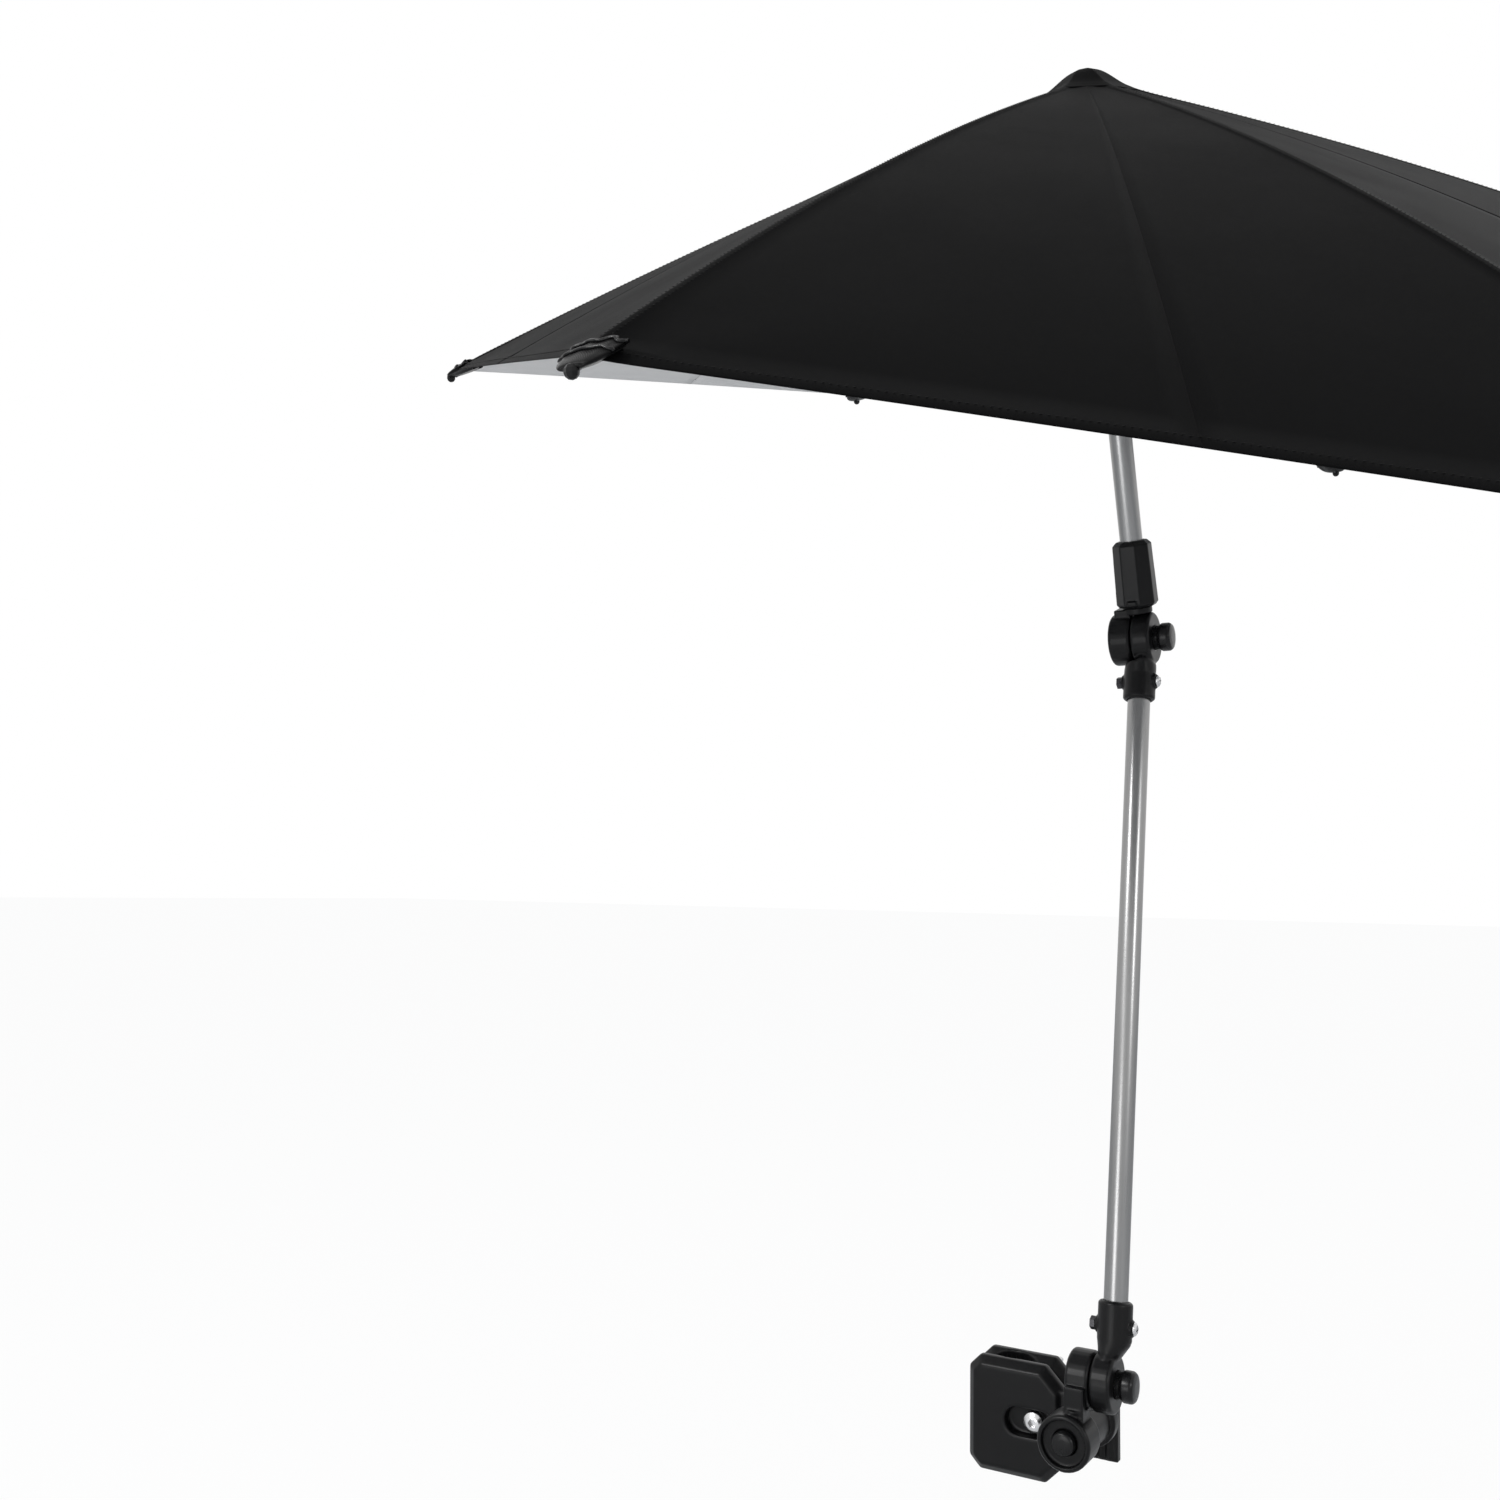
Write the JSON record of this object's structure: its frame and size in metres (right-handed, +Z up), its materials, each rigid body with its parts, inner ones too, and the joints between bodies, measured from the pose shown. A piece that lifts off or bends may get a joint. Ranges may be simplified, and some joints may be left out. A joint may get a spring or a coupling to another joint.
{
  "type": "stroller parasol",
  "caption": "Clamp-on parasol for a stroller: jaw clamp with a hand knob, push-button tilt joints, a jointed aluminium pole and a lopsided ribbed fabric canopy.",
  "frame": {"origin": "middle of the clamp's grip, between its two jaws, halfway up them", "axes": "+Z up along the rail that the clamp grips; +Y from the front jaw to the rear jaw and its hand knob; +X from the grip towards the tilt joints' axes and their push buttons"},
  "size_m": [0.9275, 1.1303, 0.9666],
  "materials": {
    "black_plastic": "fine moulded grain, satin",
    "satin_aluminium": "satin drawn tube",
    "bright_steel": "bright plated",
    "dark_steel": "dark coated",
    "black_fabric": "black weave outside, silver coating inside"
  },
  "bodies": {
    "clamp": {"front_jaw": "black_plastic", "clamp_bolt": "bright_steel", "lower_guide_pin": "bright_steel", "upper_guide_pin": "bright_steel", "swivel_spring": "bright_steel"},
    "rear_jaw": {"rear_jaw": "black_plastic"},
    "knob": {"hand_knob": "black_plastic", "knob_collar": "dark_steel"},
    "elbow": {"elbow": "black_plastic", "tilt_spring": "bright_steel"},
    "swivel_button": {"swivel_button": "black_plastic", "swivel_lock_gear": "bright_steel"},
    "lower_arm": {"lower_socket": "black_plastic", "lower_screw": "bright_steel", "lower_nut": "dark_steel", "lower_tube": "satin_aluminium", "middle_socket": "black_plastic", "middle_screw": "bright_steel", "middle_nut": "dark_steel"},
    "tilt_button": {"tilt_button": "black_plastic", "tilt_lock_gear": "bright_steel"},
    "middle_button": {"middle_button": "black_plastic", "middle_lock_gear": "bright_steel"},
    "knuckle": {"knuckle": "black_plastic", "middle_spring": "bright_steel"},
    "mast": {"collar": "black_plastic", "upper_tube": "satin_aluminium", "crown": "black_plastic", "top_cap": "black_plastic"},
    "runner": {"runner": "black_plastic", "runner_catch": "bright_steel"},
    "rib_right": {"rib_right": "dark_steel", "rib_end_right": "black_plastic", "petal_right": "black_fabric"},
    "stretcher_right": {"stretcher_right": "dark_steel"},
    "rib_back_right": {"rib_back_right": "dark_steel", "rib_end_back_right": "black_plastic", "petal_back_right": "black_fabric"},
    "stretcher_back_right": {"stretcher_back_right": "dark_steel"},
    "rib_back_left": {"rib_back_left": "dark_steel", "rib_end_back_left": "black_plastic", "petal_back_left": "black_fabric"},
    "stretcher_back_left": {"stretcher_back_left": "dark_steel"},
    "rib_left": {"rib_left": "dark_steel", "rib_end_left": "black_plastic", "petal_left": "black_fabric"},
    "stretcher_left": {"stretcher_left": "dark_steel"},
    "rib_front_left": {"rib_front_left": "dark_steel", "rib_end_front_left": "black_plastic", "petal_front_left": "black_fabric"},
    "stretcher_front_left": {"stretcher_front_left": "dark_steel"},
    "rib_front_right": {"rib_front_right": "dark_steel", "rib_end_front_right": "black_plastic", "petal_front_right": "black_fabric"},
    "stretcher_front_right": {"stretcher_front_right": "dark_steel"}
  },
  "joints": [
    {"name": "jaw_slide", "type": "slide", "parent": "clamp", "child": "rear_jaw", "axis": [0, 1, 0], "range_m": [-0.004, 0.032]},
    {"name": "knob_turn", "type": "hinge", "parent": "rear_jaw", "child": "knob", "pos_m": [0.02, 0.0293, 0], "axis": [0, 1, 0], "range_deg": [-245, 1930]},
    {"name": "swivel_turn", "type": "hinge", "parent": "clamp", "child": "elbow", "pos_m": [0.06, -0.046, 0.01], "axis": [0, -1, 0], "continuous": true},
    {"name": "swivel_press", "type": "slide", "parent": "elbow", "child": "swivel_button", "axis": [0, 1, 0], "range_m": [0, 0.003], "stiffness_N_per_m": 900, "springref_m": -0.004},
    {"name": "base_tilt", "type": "hinge", "parent": "elbow", "child": "lower_arm", "pos_m": [0.08415, -0.041, 0.0445], "axis": [1, 0, 0], "range_deg": [0, 85]},
    {"name": "tilt_press", "type": "slide", "parent": "lower_arm", "child": "tilt_button", "axis": [-1, 0, 0], "range_m": [0, 0.003], "stiffness_N_per_m": 900, "springref_m": -0.004},
    {"name": "middle_press", "type": "slide", "parent": "lower_arm", "child": "middle_button", "axis": [-1, 0, 0], "range_m": [0, 0.003], "stiffness_N_per_m": 900, "springref_m": -0.004},
    {"name": "middle_bend", "type": "hinge", "parent": "lower_arm", "child": "knuckle", "pos_m": [0.08415, 0.03586, 0.5513], "axis": [1, 0, 0], "range_deg": [-63.4, 8.6]},
    {"name": "mast_turn", "type": "hinge", "parent": "knuckle", "child": "mast", "pos_m": [0.08415, 0.03586, 0.5513], "axis": [0, -0.3239, 0.9461], "continuous": true},
    {"name": "runner_slide", "type": "slide", "parent": "mast", "child": "runner", "axis": [0, 0.3239, -0.9461], "range_m": [0, 0.18]},
    {"name": "rib_right_fold", "type": "hinge", "parent": "mast", "child": "rib_right", "pos_m": [0.09498, -0.08325, 0.91112], "axis": [-0.3355, 0.8913, 0.3051], "range_deg": [0, 41.81], "deforming": ["petal_right"]},
    {"name": "stretcher_right_swing", "type": "hinge", "parent": "rib_right", "child": "stretcher_right", "pos_m": [0.22687, -0.0186, 0.86728], "axis": [-0.3355, 0.8913, 0.3051], "range_deg": [-99.62, 0]},
    {"name": "rib_back_right_fold", "type": "hinge", "parent": "mast", "child": "rib_back_right", "pos_m": [0.08518, -0.07606, 0.91358], "axis": [-0.996, 0.085, 0.0291], "range_deg": [0, 42.81], "deforming": ["petal_back_right"]},
    {"name": "stretcher_back_right_swing", "type": "hinge", "parent": "rib_back_right", "child": "stretcher_back_right", "pos_m": [0.09776, 0.07528, 0.902], "axis": [-0.996, 0.085, 0.0291], "range_deg": [-100, 0]},
    {"name": "rib_back_left_fold", "type": "hinge", "parent": "mast", "child": "rib_back_left", "pos_m": [0.07611, -0.07912, 0.91253], "axis": [-0.715, -0.6614, -0.2264], "range_deg": [0, 52.61], "deforming": ["petal_back_left"]},
    {"name": "stretcher_back_left_swing", "type": "hinge", "parent": "rib_back_left", "child": "stretcher_back_left", "pos_m": [-0.02176, 0.02578, 0.91519], "axis": [-0.715, -0.6614, -0.2264], "range_deg": [-100.42, 0]},
    {"name": "rib_left_fold", "type": "hinge", "parent": "mast", "child": "rib_left", "pos_m": [0.07332, -0.09055, 0.90862], "axis": [0.3355, -0.8913, -0.3051], "range_deg": [0, 53.55], "deforming": ["petal_left"]},
    {"name": "stretcher_left_swing", "type": "hinge", "parent": "rib_left", "child": "stretcher_left", "pos_m": [-0.05857, -0.12589, 0.86684], "axis": [0.3355, -0.8913, -0.3051], "range_deg": [-100.01, 0]},
    {"name": "rib_front_left_fold", "type": "hinge", "parent": "mast", "child": "rib_front_left", "pos_m": [0.08312, -0.09774, 0.90616], "axis": [0.996, -0.085, -0.0291], "range_deg": [0, 52.61], "deforming": ["petal_front_left"]},
    {"name": "stretcher_front_left_swing", "type": "hinge", "parent": "rib_front_left", "child": "stretcher_front_left", "pos_m": [0.07054, -0.21946, 0.83123], "axis": [0.996, -0.085, -0.0291], "range_deg": [-100.42, 0]},
    {"name": "rib_front_right_fold", "type": "hinge", "parent": "mast", "child": "rib_front_right", "pos_m": [0.09219, -0.09468, 0.90721], "axis": [0.715, 0.6614, 0.2264], "range_deg": [0, 42.81], "deforming": ["petal_front_right"]},
    {"name": "stretcher_front_right_swing", "type": "hinge", "parent": "rib_front_right", "child": "stretcher_front_right", "pos_m": [0.19006, -0.16996, 0.81804], "axis": [0.715, 0.6614, 0.2264], "range_deg": [-100, 0]}
  ],
  "couplings": [
    {"joint": "knob_turn", "follows": "jaw_slide", "rad_per_m": 1047.2},
    {"joint": "rib_right_fold", "follows": "runner_slide", "rad_per_m": 4.0492},
    {"joint": "stretcher_right_swing", "follows": "runner_slide", "rad_per_m": -9.6546},
    {"joint": "rib_back_right_fold", "follows": "runner_slide", "rad_per_m": 4.1461},
    {"joint": "stretcher_back_right_swing", "follows": "runner_slide", "rad_per_m": -9.6914},
    {"joint": "rib_back_left_fold", "follows": "runner_slide", "rad_per_m": 5.0964},
    {"joint": "stretcher_back_left_swing", "follows": "runner_slide", "rad_per_m": -9.7322},
    {"joint": "rib_left_fold", "follows": "runner_slide", "rad_per_m": 5.1875},
    {"joint": "stretcher_left_swing", "follows": "runner_slide", "rad_per_m": -9.6924},
    {"joint": "rib_front_left_fold", "follows": "runner_slide", "rad_per_m": 5.0964},
    {"joint": "stretcher_front_left_swing", "follows": "runner_slide", "rad_per_m": -9.7322},
    {"joint": "rib_front_right_fold", "follows": "runner_slide", "rad_per_m": 4.1461},
    {"joint": "stretcher_front_right_swing", "follows": "runner_slide", "rad_per_m": -9.6914}
  ]
}
